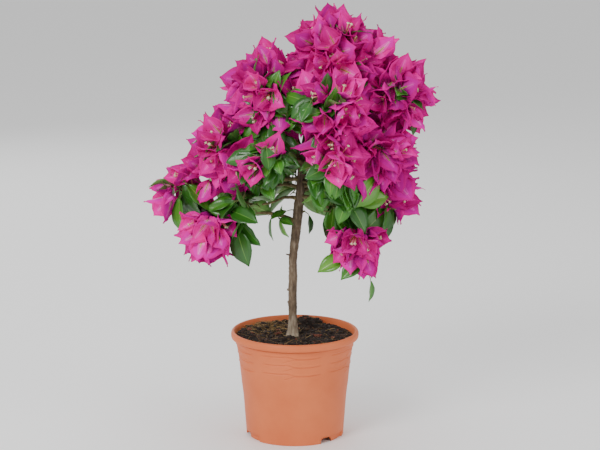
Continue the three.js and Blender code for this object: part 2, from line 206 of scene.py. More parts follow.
def spun(profile, steps):  # a profile of radius and height turned about Z
    bm = bmesh.new()
    rim = [bm.verts.new((r, 0, z)) for r, z in profile]
    lines = [bm.edges.new(pair) for pair in zip(rim, rim[1:])]
    bmesh.ops.spin(
        bm, geom=rim + lines, cent=(0, 0, 0), axis=(0, 0, 1), angle=math.tau, steps=steps, use_merge=True,
    )
    bmesh.ops.remove_doubles(bm, verts=bm.verts, dist=1e-4)
    bmesh.ops.recalc_face_normals(bm, faces=bm.faces)
    return bm


# The floor is plain and pale.
floorFacts = {"size": 12, "colour": (0.93, 0.93, 0.93), "roughness": 0.6}
floorMesh = bpy.data.meshes.new("floor")
floorShape = bmesh.new()
bmesh.ops.create_grid(floorShape, x_segments=1, y_segments=1, size=floorFacts["size"])
floorShape.to_mesh(floorMesh)
floorShape.free()
floorMesh.materials.append(Finish("paleFloor", floorFacts["colour"], floorFacts["roughness"]).material)
floor = bpy.data.objects.new("floor", floorMesh)
bpy.context.scene.collection.objects.link(floor)
print("stage set")


potFacts = {
    "height": 142,
    "lipHeight": 10.5,
    "columns": 360,
    "gapCount": 3,
    "gapTurn": 41.4,  # of the first drain arch, in degrees from the front towards the right
    "gapHalf": 9,
    "gapHeight": 7.2,
    "recessTurn": 53,
    "recessHalf": 21,
    "recessDepth": 2.4,
    "waves": (123.2, 111.4, 99.4),  # their heights
    "waveGroups": 5,
    "hump": (-9, 4, 0.9),  # where a wave's hump is, how wide and how high
    "fall": 2.7,
    "rise": 1.2,
    "slantDrop": 7,  # of the short stroke below a wave
    "groove": 1.25,
    "swell": 0.6,
    "underLip": 1.2,  # how far the wall stands back in the shadow of the lip
}


def wallRadius(z):  # of the outside, in the band that the waves are pressed into
    return float(np.interp(z, (82, 92, 103, 113, 122, 131), (72.0, 73.1, 74.2, 75.7, 77.5, 79.4)))


def waveLines(turn, height):  # the pressed strokes of one group, each as its height and how deep it is here
    at, wide, high = potFacts["hump"]
    hump = high * math.exp(-((turn - at) / wide) ** 2)
    long = height + hump - potFacts["fall"] * smooth(-7, 4, turn) + potFacts["rise"] * smooth(14, 26, turn)
    slant = height - potFacts["slantDrop"] + 4.6 * smooth(-12, 3, turn)
    return (
        (long, smooth(-36, -31, turn) * (1 - smooth(24, 28, turn))),
        (slant, 0.6 * smooth(-12, -9, turn) * (1 - smooth(0, 4, turn))),
    )


def makePot():
    facts = potFacts
    lipFoot = facts["height"] - facts["lipHeight"]
    # The profile turned to make the pot, each point by its radius and height.
    foot = [
        (0, 0), (30, 0), (42.6, 0), (43.4, 0.5), (44.6, 4), (45.8, 8), (54, 8), (62.0, 8), (62.2, 7.6),
        (62.5, 7.1), (62.6, 5), (62.8, 2), (63, 0.3), (63.3, 0), (64.4, 0), (64.8, 0.4), (64.9, 2),
    ]
    wall = [
        (65.0, 4), (65.1, 6), (65.2, 7.1), (65.25, 7.6), (65.4, 10), (66.0, 18), (66.9, 29), (67.8, 42),
        (68.8, 55), (70.2, 66), (71.0, 71), (72.0, 82), (72.9, 90),
    ]
    wall += [(wallRadius(z), z) for z in np.arange(90.7, lipFoot - 1.2, 0.7)]
    wall += [(79.2 - facts["underLip"], lipFoot - 0.6), (79.4 - facts["underLip"], lipFoot + 0.2)]
    lip = [
        (79.8, lipFoot + 0.3), (80.2, lipFoot + 0.3), (82.4, lipFoot + 0.2), (83.6, lipFoot + 0.6),
        (84.4, lipFoot + 1.5), (84.8, lipFoot + 2.7), (85, lipFoot + 4.4), (85, 137.4), (84.8, 138.8),
        (84.3, 140.2), (83.5, 141.2), (82.5, 141.9), (81.6, 142), (80.8, 141.7), (80.3, 141),
    ]
    inside = [
        (79.6, 139), (78.9, 136), (77.9, 133), (77, 128), (76.2, 124), (73.4, 110), (70.6, 92),
        (68.6, 78), (66.2, 40), (63.8, 10), (44, 10), (41.6, 2), (0, 2),
    ]
    bm = spun(foot + wall + lip + inside, facts["columns"])
    halfGroup = 180 / facts["waveGroups"]
    for vert in bm.verts:
        x, y, z = vert.co
        radius = math.hypot(x, y)
        if radius < 1:
            continue
        turn = math.degrees(math.atan2(x, -y))
        push = 0
        if 88 < z < lipFoot - 1 and radius > wallRadius(z) - 0.9:
            within = (turn + halfGroup) % (2 * halfGroup) - halfGroup
            for height in facts["waves"]:
                for line, strength in waveLines(within, height):
                    off = z - line
                    swell = facts["swell"] * math.exp(-((off - 1.6) / 1.4) ** 2)
                    push += strength * (swell - facts["groove"] * math.exp(-((off / 0.75) ** 2)))
        if radius > 58 and z < 7.4:
            step = 360 / facts["gapCount"]
            recess = abs((turn - facts["recessTurn"] + step / 2) % step - step / 2)
            half = facts["recessHalf"]
            push -= facts["recessDepth"] * (1 - smooth(half - 1.5, half, recess))
            gap = abs((turn - facts["gapTurn"] + step / 2) % step - step / 2) / facts["gapHalf"]
            if gap < 1:
                z = max(z, facts["gapHeight"] * (1 - gap ** 2.6) ** 0.5)
        vert.co = (x * (1 + push / radius), y * (1 + push / radius), z)
    return bm


plastic = Finish("terracottaPlastic", linear(212, 110, 62), 0.52, Specular_IOR_Level=0.35)
grain = plastic.cloud(420, 3, 0.6)
mottle = plastic.cloud(18, 4, 0.55)
plastic.feed("Roughness", 0.44 + mottle * 0.14 + grain * 0.05)
plastic.colourBy(mottle, (0.3, (204, 102, 55)), (0.72, (216, 114, 67)))
plastic.bump(grain * 0.6 + mottle * 0.4, 0.25, 0.0004)
pot = addPiece("potShell", meshFrom("potShell", makePot()), [plastic.material])
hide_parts("pot")


soilFacts = {
    "level": 133,
    "edge": 77.4,
    "columns": 200,
    "chips": 760,
    "chipSizes": (1.6, 2.0, 2.6, 3.2, 4.4),
    "chipSpread": 74,
    "footChips": 90,  # they bury the foot of the stem
    "footChipSizes": (1.8, 2.4, 3.2),
    "fibres": 620,
    "fibreLength": (5, 15),
    "fibreThick": (0.28, 0.5),
    "fibreSpread": 75,
    "patchShare": 0.55,  # of the fibres, in a patch at the back left
    "patch": ((-40, 36), (19, 15)),  # its middle and its spread
    "seed": 5,
}


def soilHeight(x, y):
    away = math.hypot(x, y)
    lumps = 1.6 * math.sin(x * 0.17 + 1) * math.cos(y * 0.15) + 1.1 * math.sin(x * 0.31 + y * 0.27)
    clod = 9 * math.exp(-((x - 14) / 17) ** 2 - ((y - 60) / 13) ** 2)
    rough = 2.6 * noise.noise(Vector((x, y, 3)) * 0.16) + 1.9 * noise.noise(Vector((x, y, 9)) * 0.42)
    crumbs = 1.1 * noise.noise(Vector((x, y, 1)) * 1.1)
    rise = 2.4 * smooth(20, 60, away) * (1.2 - x / 100)
    level = smooth(8, 20, away)
    edge = 1 - smooth(70, 77, away) * 0.6
    high = (lumps + clod + rise) * level * edge
    return soilFacts["level"] + high + (rough + crumbs) * (0.35 + 0.65 * level) * edge


def makeSoil():
    rings = [(r, soilFacts["level"]) for r in np.linspace(soilFacts["edge"], 0, 70)]
    below = [(0, 12.6), (63, 12.6), (66, 40), (68.2, 78), (73, 110), (75.8, 124), (76.6, 128)]
    bm = spun(below + rings, soilFacts["columns"])
    for vert in bm.verts:
        if vert.co.z > soilFacts["level"] - 0.1:
            vert.co.z = soilHeight(vert.co.x, vert.co.y)
    return bm


def chipTemplate(seed):  # a crumb of bark: a cube with its corners knocked about
    dice = random.Random(seed)
    bm = bmesh.new()
    bmesh.ops.create_cube(bm, size=1)
    bmesh.ops.subdivide_edges(bm, edges=bm.edges[:], cuts=1, use_grid_fill=True)
    for vert in bm.verts:
        length = vert.co.length
        vert.co *= (0.55 + 0.25 * dice.random()) / max(0.3, length) * (0.7 + 0.3 * length)
    return bm


def fibreTemplate():  # a bent straw, 1 long
    bm = bmesh.new()
    bmesh.ops.create_cone(bm, cap_ends=True, segments=4, radius1=0.5, radius2=0.4, depth=1)
    bmesh.ops.rotate(bm, matrix=Matrix.Rotation(math.pi / 2, 3, "Y"), verts=bm.verts)
    ends = [e for e in bm.edges if abs(e.verts[0].co.x - e.verts[1].co.x) > 0.5]
    bmesh.ops.subdivide_edges(bm, edges=ends, cuts=3)
    for vert in bm.verts:
        vert.co.z -= 5 * vert.co.x**2
        vert.co.y += 3 * vert.co.x**2
    return bm


def arraysOf(bm):  # a shape's corners, its faces' corner numbers and each face's material
    bm.verts.index_update()
    corners = np.array([v.co[:] for v in bm.verts])
    faces = [[v.index for v in f.verts] for f in bm.faces]
    kinds = np.array([f.material_index for f in bm.faces])
    bm.free()
    return corners, faces, kinds


def joinedMesh(name, copies):  # many copies of small shapes in one mesh, each as (shape, matrix, shift)
    corners, loops, starts, kinds = [], [], [], []
    base = 0
    for (points, faces, kind), matrix, shift in copies:
        turned = points @ np.array(matrix.to_3x3()).T + np.array(matrix.translation)
        corners.append(turned * mm)
        loops += [index + base for face in faces for index in face]
        starts += [len(face) for face in faces]
        kinds.append(kind + shift)
        base += len(points)
    corners = np.concatenate(corners)
    mesh = bpy.data.meshes.new(name)
    mesh.vertices.add(len(corners))
    mesh.vertices.foreach_set("co", corners.ravel())
    mesh.loops.add(len(loops))
    mesh.loops.foreach_set("vertex_index", np.array(loops, np.int32))
    mesh.polygons.add(len(starts))
    mesh.polygons.foreach_set("loop_start", np.concatenate(([0], np.cumsum(starts)[:-1])).astype(np.int32))
    mesh.polygons.foreach_set("material_index", np.concatenate(kinds).astype(np.int32))
    mesh.update(calc_edges=True)
    return mesh


def aimed(root, way, face, scale):  # x along the way, z towards the face
    across = face.cross(way).normalized()
    normal = way.cross(across).normalized()
    turn = Matrix((way * scale, across * scale, normal * scale)).transposed().to_4x4()
    turn.translation = root
    return turn


earth = Finish("pottingMix", linear(40, 28, 21), 0.95)
clump = earth.cloud(160, 6, 0.7)
earth.colourBy(clump, (0.32, (16, 10, 8)), (0.58, (42, 28, 21)), (0.82, (88, 64, 42)))
earth.bump(clump, 0.9, 0.002)
soil = addPiece("soilTop", meshFrom("soilTop", makeSoil()), [earth.material])
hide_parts("soil")


def anyTurn(dice, tilt, axis):  # any way round, after a tilt
    turn = Matrix.Rotation(dice.uniform(0, math.tau), 4, "Z")
    return turn @ Matrix.Rotation(dice.uniform(-tilt, tilt), 4, axis)


dice = random.Random(soilFacts["seed"])
chipShapes = [arraysOf(chipTemplate(s)) for s in range(6)]
fibreShape = arraysOf(fibreTemplate())
crumbs = []
for _ in range(soilFacts["chips"]):
    away = soilFacts["chipSpread"] * math.sqrt(dice.uniform(0.012, 1))
    turn = dice.uniform(0, math.tau)
    x, y = away * math.cos(turn), away * math.sin(turn)
    size = dice.choice(soilFacts["chipSizes"])
    spin = anyTurn(dice, 0.6, "X")
    shape = Matrix.Diagonal((size * dice.uniform(1, 2.2), size, size * dice.uniform(0.35, 0.8), 1))
    place = Matrix.Translation((x, y, soilHeight(x, y) + size * 0.12)) @ spin @ shape
    crumbs.append((dice.choice(chipShapes), place, dice.choice((0,) * 9 + (1,) * 3 + (2,))))
for _ in range(soilFacts["footChips"]):
    away, turn = dice.uniform(7.6, 12), dice.uniform(0, math.tau)
    size = dice.choice(soilFacts["footChipSizes"])
    spin = anyTurn(dice, 0.8, "X")
    shape = Matrix.Diagonal((size * dice.uniform(1, 1.8), size, size * dice.uniform(0.5, 0.9), 1))
    x, y = away * math.cos(turn) - 2.7, away * math.sin(turn)
    heap = (12 - away) * dice.uniform(0.1, 0.6)
    place = Matrix.Translation((x, y, soilHeight(x, y) + heap)) @ spin @ shape
    crumbs.append((dice.choice(chipShapes), place, dice.choice((0, 0, 0, 1))))
for _ in range(soilFacts["fibres"]):
    away = soilFacts["fibreSpread"] * math.sqrt(dice.uniform(0.015, 1))
    turn = dice.uniform(0, math.tau)
    x, y = away * math.cos(turn), away * math.sin(turn)
    if dice.random() < soilFacts["patchShare"]:
        x, y = (middle + dice.gauss(0, spread) for middle, spread in zip(*soilFacts["patch"]))
        if math.hypot(x, y) > soilFacts["chipSpread"]:
            continue
    long, thin = dice.uniform(*soilFacts["fibreLength"]), dice.uniform(*soilFacts["fibreThick"])
    spin = anyTurn(dice, 0.5, "Y")
    shape = Matrix.Diagonal((long, thin, thin, 1))
    place = Matrix.Translation((x, y, soilHeight(x, y) + 0.9)) @ spin @ shape
    crumbs.append((fibreShape, place, dice.choice((3, 4, 4))))


def specked(name, colour, roughness, scale):  # a small thing's finish, with a grain to its surface
    finish = Finish(name, linear(*colour), roughness)
    finish.bump(finish.cloud(scale, 3, 0.6), 0.5, 0.0006)
    return finish.material


crumbFinishes = [
    specked("darkBark", (34, 23, 17), 0.92, 500),
    specked("brownBark", (66, 44, 30), 0.9, 500),
    specked("redBark", (98, 50, 34), 0.88, 500),
    specked("paleFibre", (172, 142, 92), 0.9, 700),
    specked("tanFibre", (128, 100, 60), 0.9, 700),
]
addPiece("soilCrumbs", joinedMesh("soilCrumbs", crumbs), crumbFinishes, False)
print("pot and soil done")


# The stem, by its points in millimetres, and its girth along them.
stemFacts = {
    "line": [
        (-2.7, 0, 133.3), (-2.8, 0, 165), (-2.6, 1, 200), (-2.2, 1, 240),
        (2, 1, 280), (5.5, 0, 315), (8.5, 0, 345), (11.5, 2, 384),
    ],
    "girth": [(133.3, 8.4), (141, 6.4), (156, 5.5), (246, 5.3), (304, 6.3), (334, 5.5), (384, 4.3)],
    "sides": 40,
    "rings": 230,
    # Each snag by its height, its turn about the stem in degrees, its length and its radius, and each knot
    # by its height and turn.
    "snags": [(242, 176, 10, 1.5), (195, 190, 8, 2.6), (178, 170, 7.4, 2.4), (300, 8, 10, 2)],
    "knots": [(178, 170), (195, 190), (216, 10), (242, 176), (300, 8), (268, 200)],
    "top": 392,  # from here up nothing has to keep clear of it
    # Seen from in front it shows between these heights: no leaf that lies in front of it goes there.
    "bare": (225, 368),
    "bareHalf": 11,
    "bareDepth": 4,
}


def stemAt(z):  # the middle of the stem at a height
    line = stemFacts["line"]
    z = min(max(z, line[0][2]), line[-1][2])
    i = max(1, next(k for k, p in enumerate(line) if p[2] >= z))
    last = len(line) - 1
    before, a, b, after = (Vector(line[min(last, max(0, k))]) for k in (i - 2, i - 1, i, i + 1))
    t = (z - a.z) / (b.z - a.z)
    slopeA = (b - before) * ((b.z - a.z) / max(1, b.z - before.z))
    slopeB = (after - a) * ((b.z - a.z) / max(1, after.z - a.z))
    spot = a * (2 * t**3 - 3 * t**2 + 1) + slopeA * (t**3 - 2 * t**2 + t)
    spot += b * (3 * t**2 - 2 * t**3) + slopeB * (t**3 - t**2)
    spot.z = z
    return spot


def tube(points, radii, sides, relief=None):  # closed, along points; relief shifts each corner outward
    bm = bmesh.new()
    rings = []
    side = None
    for k, (spot, radius) in enumerate(zip(points, radii)):
        way = (points[min(k + 1, len(points) - 1)] - points[max(k - 1, 0)]).normalized()
        side = way.orthogonal().normalized() if side is None else (side - way * side.dot(way)).normalized()
        other = way.cross(side)
        ring = []
        for j in range(sides):
            turn = math.tau * j / sides
            out = radius + (relief(turn, spot) if relief else 0)
            ring.append(bm.verts.new(spot + (side * math.cos(turn) + other * math.sin(turn)) * out))
        rings.append([bm.edges.new((ring[j], ring[(j + 1) % sides])) for j in range(sides)])
        if k:
            bmesh.ops.bridge_loops(bm, edges=rings[-2] + rings[-1])
    for ends in (rings[0], rings[-1]):
        bmesh.ops.contextual_create(bm, geom=ends)
    bmesh.ops.recalc_face_normals(bm, faces=bm.faces)
    return bm


def barkRelief(turn, spot):
    x, y = math.cos(turn), math.sin(turn)
    ridges = noise.noise(Vector((x * 2.6, y * 2.6, spot.z * 0.035)))
    flakes = noise.noise(Vector((x * 5.5, y * 5.5, spot.z * 0.22)))
    rings = noise.noise(Vector((x * 1.2, y * 1.2, spot.z * 0.55 + 7)))
    knots = sum(
        2.0 * math.exp(-((spot.z - height) / 6) ** 2) * max(0, math.cos(turn - math.radians(at))) ** 3
        for height, at in stemFacts["knots"]
    )
    flutes = 0.6 + 1.1 * math.sin(turn * 3 + 0.8) + 0.5 * math.sin(turn * 7)
    roots = (1 - smooth(133, 148, spot.z)) * flutes
    return 0.9 * ridges + 0.55 * flakes + 0.35 * rings + knots * 0.55 + roots


heights = np.linspace(stemFacts["line"][0][2], stemFacts["line"][-1][2], stemFacts["rings"])
girths = np.interp(heights, *zip(*stemFacts["girth"]))
stemShape = tube([stemAt(z) for z in heights], girths, stemFacts["sides"], barkRelief)
for height, turn, length, radius in stemFacts["snags"]:
    foot = stemAt(height)
    out = Vector((math.cos(math.radians(turn)), math.sin(math.radians(turn)), 0.25)).normalized()
    steps = np.linspace(0, 1, 7)
    snag = tube([foot + out * length * t for t in steps], mix(radius, radius * 0.55, steps), 10)
    snagMesh = bpy.data.meshes.new("snag")
    snag.to_mesh(snagMesh)
    snag.free()
    stemShape.from_mesh(snagMesh)
    bpy.data.meshes.remove(snagMesh)


def barkFinish(name, dark, middle, pale, lean, foot=0):  # foot is how much paler it is at the soil
    bark = Finish(name, linear(*middle), 0.86)
    streaks = bark.cloud(190, 5, 0.65, (1, 1, lean))
    both = streaks * 0.62 + bark.cloud(38, 3, 0.6) * 0.38
    if foot:
        height = bark.node("SeparateXYZ", output=2, Vector=bark.node("TexCoord", output=3))
        paler = bark.node("MapRange", Value=height, From_Min=0.133, From_Max=0.17, To_Min=foot, To_Max=0)
        both = both + paler
    bark.colourBy(both, (0.36, dark), (0.5, middle), (0.66, pale))
    bark.bump(streaks, 0.7, 0.0012)
    return bark.material


stemBark = barkFinish("stemBark", (62, 48, 36), (104, 86, 67), (156, 142, 122), 0.22, 0.1)
boughBark = barkFinish("boughBark", (76, 68, 40), (108, 94, 60), (140, 126, 90), 0.4)
stem = addPiece("stemWood", meshFrom("stemWood", stemShape), [stemBark])
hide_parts("trunk")
print("stem done")


# The masses of the crown in millimetres: what each bears, its middle, its reach, where its bough leaves the
# stem, how far the bough arches, and the way in where that isn't straight from the stem.
crown = [
    ("top", "blossom", (56, 0, 518), (62, 60, 62), 384, 8, None),
    ("top_right", "blossom", (132, -4, 462), (59, 58, 52), 379, 10, None),
    ("upper_left", "blossom", (-38, -18, 472), (60, 58, 52), 381, 4, None),
    ("front_high", "blossom", (48, -74, 452), (56, 50, 52), 376, 5, None),
    ("back_top", "blossom", (25, 76, 465), (60, 54, 56), 377, 5, None),
    ("left", "blossom", (-90, -15, 392), (53, 58, 56), 362, 10, None),
    ("right", "blossom", (112, -22, 384), (57, 58, 54), 356, 8, None),
    ("front_left", "blossom", (-42, -84, 380), (50, 48, 46), 368, 4, None),
    ("front_right", "blossom", (46, -92, 384), (50, 50, 50), 365, 4, None),
    ("back_left", "blossom", (-58, 78, 398), (60, 56, 54), 369, 6, None),
    ("back_right", "blossom", (88, 80, 394), (60, 56, 54), 366, 6, None),
    ("far_left", "blossom", (-154, 2, 338), (43, 40, 42), 346, -8, None),
    ("right_low", "blossom", (126, 2, 322), (44, 48, 44), 336, 6, None),
    ("back_low_left", "blossom", (-72, 66, 324), (52, 50, 44), 333, 6, None),
    ("back_low_right", "blossom", (78, 72, 318), (52, 50, 44), 328, 6, None),
    ("hanging_left", "blossom", (-112, -32, 276), (44, 46, 46), 288, 8, (0.75, 0.2, 0.6)),
    ("hanging_right", "blossom", (80, -38, 264), (46, 46, 42), 322, 10, (-0.5, 0.1, 0.85)),
    ("centre", "leaves", (-14, -42, 426), (50, 42, 40), 383, 0, None),
    ("low_left", "leaves", (-66, -24, 322), (46, 50, 50), 318, 5, None),
    ("low_right", "leaves", (56, -48, 330), (52, 48, 44), 342, 4, None),
    ("low_back", "leaves", (4, 70, 334), (48, 46, 46), 324, 5, None),
]
shootFacts = {
    "tries": 1600,
    "depth": (0.22, 0.75),  # where a shoot ends, from the middle of its mass to its skin
    "slack": 1.04,  # how far past the skin its blades may go
    "backCone": -0.8,
    "clear": 18,  # the room between the stem and a shoot
    "leafClear": 12,
    "leafShootGap": 19,
    "leafReach": 50,  # of a leaf with its stalk
    "bloomGap": 19.5,
    "bloomMiddle": 16,  # how far past the tip of its twig it lies
    "bloomReach": (33, 20),  # along and across, for a size of 1
    "bloomScales": (1.15, 1.08, 1.0, 0.92, 0.84),
    "heart": (10, 0, 360),  # the blooms also look away from here
    "fan": 0.5,
    "stray": 0.38,
    "droop": 0.75,
    "droopHeights": (250, 500),
    "turnedHeights": (350, 490),  # between them, in front, some blooms show their backs
    "turnedWay": (0, 0.25, -0.75),
    "front": 25,  # what lies in front of this follows the patches in the view
    "deepHeight": 340,  # above it the leaves in such a patch are small and lie deep
    "leafy": {"far_left": 0.4, "front_left": 0.12, "left": 0.06},  # the share of shoots that bear leaves
    # The height below which the shoots of a mass bear leaves.
    "skirt": {
        "front_right": 360, "front_left": 352, "back_left": 358, "back_right": 356,
        "back_low_left": 326, "back_low_right": 340,
    },
    "seed": 11,
    "steps": (0.8191725134, 0.6710436067, 0.5497004779),  # they spread the shoots evenly all round
}
limbFacts = {
    "thin": 2.1,
    "thick": 2.9,
    "leader": 4.1,  # as thick as the top of the stem
    "tip": 1.6,
    "end": 1.3,
    "sway": 1.4,
    "twig": (1.0, 0.7),
}


def reachAlong(reach, way):
    return 1 / math.sqrt(sum((w / r) ** 2 for w, r in zip(way, reach)))


def curved(a, bend, b, t):
    return a * (1 - t) ** 2 + bend * (2 * t * (1 - t)) + b * t**2


def leaning(axis, angle, turn):
    helper = up if abs(axis.z) < 0.9 else Vector((1, 0, 0))
    first = axis.cross(helper).normalized()
    second = axis.cross(first).normalized()
    aside = first * math.cos(turn) + second * math.sin(turn)
    return (axis * math.cos(angle) + aside * math.sin(angle)).normalized()


def boughPoints(mass):
    _, _, middle, reach, height, arch, enter = mass
    middle = Vector(middle)
    foot = stemAt(height)
    way = Vector(enter).normalized() if enter else (foot - middle).normalized()
    tip = middle + way * reachAlong(reach, way)
    span = (tip - foot).length
    bend = foot.lerp(tip, 0.45) + Vector((0, 0, arch + span * 0.08))
    if height >= stemFacts["line"][-1][2]:  # the leader goes on from the top of the stem
        bend = foot + Vector((0.08, 0.03, 1)).normalized() * span * 0.5
    return foot, bend, tip


limbTubes = []  # (points, radii, sides)
twigTubes = []  # the same
blooms = []  # (tip, axis, scale, opening, turn)
leaves = []  # (root, way, face, scale)
bloomCentres = []


def inReach(middle, reach, spot, slack=1.0):
    return sum(((s - m) / r) ** 2 for s, m, r in zip(spot, middle, reach)) < slack


def inCrown(spot, slack):
    return any(inReach(mass[2], mass[3], spot, slack) for mass in crown)


def bloomFits(tip, axis, scale):
    long, half = shootFacts["bloomReach"]
    for turn in range(6):
        out = leaning(axis, math.pi / 2, turn * math.pi / 3)
        if not inCrown(tip + (axis * long + out * half) * scale, shootFacts["slack"]):
            return False
    return True


def farFromStem(spot, room):
    return spot.z > stemFacts["top"] or (spot - stemAt(spot.z)).length > room


def leavesStemBare(spot):
    low, high = stemFacts["bare"]
    if spot.y > stemFacts["bareDepth"] or not low < spot.z < high:
        return True
    return abs(spot.x - stemAt(spot.z).x) > stemFacts["bareHalf"]


# Seen from in front, leaves show among the blossom in some places and nothing grows in others: the middle
# and the reach of each, in the pixels of the view.
leafyPatches = [
    ((312, 104), (31, 13)), ((263, 138), (34, 13)), ((306, 170), (28, 18)),
    ((356, 198), (31, 22)), ((277, 75), (12, 9)), ((384, 222), (22, 12)),
    ((179, 194), (13, 15)), ((418, 102), (9, 7)),
]
barePatches = [((440, 70), (15, 24)), ((434, 110), (13, 7))]


def seenAt(spot):  # where the view shows a place, across and down, in pixels
    pitch = math.radians(viewpoint["pitch"])
    ahead = spot.y + viewpoint["away"] / mm
    drop = viewpoint["height"] / mm - spot.z
    depth = ahead * math.cos(pitch) + drop * math.sin(pitch)
    down = drop * math.cos(pitch) - ahead * math.sin(pitch)
    across = spot.x - viewpoint["side"] / mm
    wide, high = viewpoint["frame"]
    return wide / 2 + across * viewpoint["focal"] / depth, high / 2 + down * viewpoint["focal"] / depth


def inPatches(patches, spot):
    return any(inReach(middle, reach, seenAt(spot)) for middle, reach in patches)


def leafAt(root, way, dice, scale, droop):
    way = way.copy()
    way.z -= droop
    way.normalize()
    away = root - stemAt(root.z)
    away.z = 0
    face = away.normalized() * 0.75 + up * 0.6
    face += Vector((dice.uniform(-0.45, 0.45), dice.uniform(-0.45, 0.45), dice.uniform(-0.3, 0.3)))
    if face.cross(way).length < 0.3:
        face += way.orthogonal().normalized()
    return (root, way, face.normalized(), scale)


def nearestFork(forks, spot, way):
    def cost(fork):
        apart = (fork - spot).length
        return apart * (2 - (spot - fork).normalized().dot(way)) if apart > 5 else 999
    return min(forks, key=cost)


def droopAt(spot):  # blossom hangs at the skirts of the crown and stands at its top
    return shootFacts["droop"] * (1 - smooth(*shootFacts["droopHeights"], spot.z))


def anyWay(dice, high=1):  # high limits how far it goes up
    return Vector((dice.uniform(-1, 1), dice.uniform(-1, 1), dice.uniform(-1, high)))


def bearLeaves(dice, twig, axis, choices, sizes):  # twig is its foot, bend and tip
    count = dice.choice(choices)
    for j in range(count):
        root = curved(*twig, mix(0.25, 0.98, (j + dice.random() * 0.7) / count))
        side = leaning(axis, dice.uniform(0.5, 1.3), dice.uniform(0, math.tau))
        size = dice.uniform(*sizes)
        leaf = leafAt(root, side, dice, size, dice.uniform(0.1, 0.6))
        along = [root + leaf[1] * shootFacts["leafReach"] * size * part for part in (0.15, 0.4, 0.7, 1)]
        if not inCrown(along[-1], shootFacts["slack"]) or not farFromStem(root, shootFacts["leafClear"]):
            continue
        if all(map(leavesStemBare, along)):
            leaves.append(leaf)


def growMass(index, mass):
    name, bears, middle, reach, *_ = mass
    middle = Vector(middle)
    dice = random.Random(shootFacts["seed"] + index * 5)
    foot, bend, tip = boughPoints(mass)
    thick = mix(limbFacts["thin"], limbFacts["thick"], min(1, math.hypot(*reach) / 90))
    if name == "top":
        thick = limbFacts["leader"]
    steps = np.linspace(0, 1, 22)
    line = []
    for t in steps:
        sway = Vector(noise.noise_vector(Vector((index, t * 3, 1)))) * limbFacts["sway"]
        line.append(curved(foot, bend, tip, t) + sway * math.sin(t * math.pi))
    limbTubes.append((line, mix(thick, limbFacts["tip"], steps), 10))

    # The bough goes on into its mass, and the twigs fork from this stretch and from one another.
    into = (tip - bend).normalized()
    outward = (middle - tip).normalized()
    end = middle + outward * reachAlong(reach, outward) * 0.18
    knee = tip + into * (end - tip).length * 0.5
    steps = np.linspace(0, 1, 12)
    line = [curved(tip - into, knee, end, t) for t in steps]
    limbTubes.append((line, mix(limbFacts["tip"], limbFacts["end"], steps), 8))
    forks = [curved(tip, knee, end, t) for t in (0.2, 0.35, 0.5, 0.65, 0.8, 0.95)]

    shoots = []
    flowering = bears == "blossom"
    gap = shootFacts["bloomGap"] if flowering else shootFacts["leafShootGap"]
    for k in range(shootFacts["tries"]):
        first, second, third = ((k * step) % 1 for step in shootFacts["steps"])
        angle = math.acos(mix(1, shootFacts["backCone"], first))
        way = leaning(outward, angle, index * 5 + second * math.tau)
        spot = middle + way * reachAlong(reach, way) * mix(*shootFacts["depth"], third)
        fork = nearestFork(forks, spot, way)
        axis = (spot - fork).normalized().lerp(way, 0.6).normalized()
        if flowering:
            fromHeart = (spot - Vector(shootFacts["heart"])).normalized()
            axis = axis.lerp(fromHeart, shootFacts["fan"]) + anyWay(dice) * shootFacts["stray"]
            axis.z -= droopAt(spot)
            axis.normalize()
        centre = spot + axis * shootFacts["bloomMiddle"]
        if not farFromStem(centre, shootFacts["clear"]):
            continue
        if any((centre - other).length < gap for other in (bloomCentres if flowering else shoots)):
            continue
        lowest = centre.z + min(0, axis.z) * 20 - 8  # of what it bears
        green = centre.y < shootFacts["front"] and inPatches(leafyPatches, centre)
        deep = green and centre.z > shootFacts["deepHeight"]
        leafy = not flowering or dice.random() < shootFacts["leafy"].get(name, 0)
        leafy = leafy or green or lowest < shootFacts["skirt"].get(name, 0)
        if inPatches(barePatches, centre + axis * 18):
            continue
        if leafy and flowering:  # its leaves stay behind the bracts
            spot = fork.lerp(spot, 0.45 if deep else 0.75)
            centre = spot + axis * shootFacts["bloomMiddle"]
        if not leafy:
            if inCrown(centre + axis * 40, 0.5):
                continue  # it would look into another mass
            scale = next((s for s in shootFacts["bloomScales"] if bloomFits(spot, axis, s)), None)
            if scale is None:
                continue
            scale *= dice.uniform(0.95, 1.03)
            low, high = shootFacts["turnedHeights"]
            if centre.y < 0 and low < centre.z < high and len(blooms) % 5 in (0, 2):
                axis = (axis + Vector(shootFacts["turnedWay"])).normalized()
            blooms.append((spot, axis, scale, dice.uniform(0.75, 1.2), dice.uniform(0, math.tau)))
        elif not inReach(middle, reach, centre, 0.95):
            continue
        if flowering:
            bloomCentres.append(centre)
        shoots.append(centre)
        sag = anyWay(dice, high=0.4) * (spot - fork).length * 0.12
        twig = (fork, fork.lerp(spot, 0.5) + sag, spot)
        steps = np.linspace(0, 1, 5)
        twigTubes.append(([curved(*twig, t) for t in steps], mix(*limbFacts["twig"], steps), 5))
        forks += [curved(*twig, t) for t in (0.4, 0.75)]
        sizes = (0.72, 1.1) if leafy and not deep else (0.5, 0.85)
        bearLeaves(dice, twig, axis, (2, 3, 3) if leafy else (1, 2, 2), sizes)


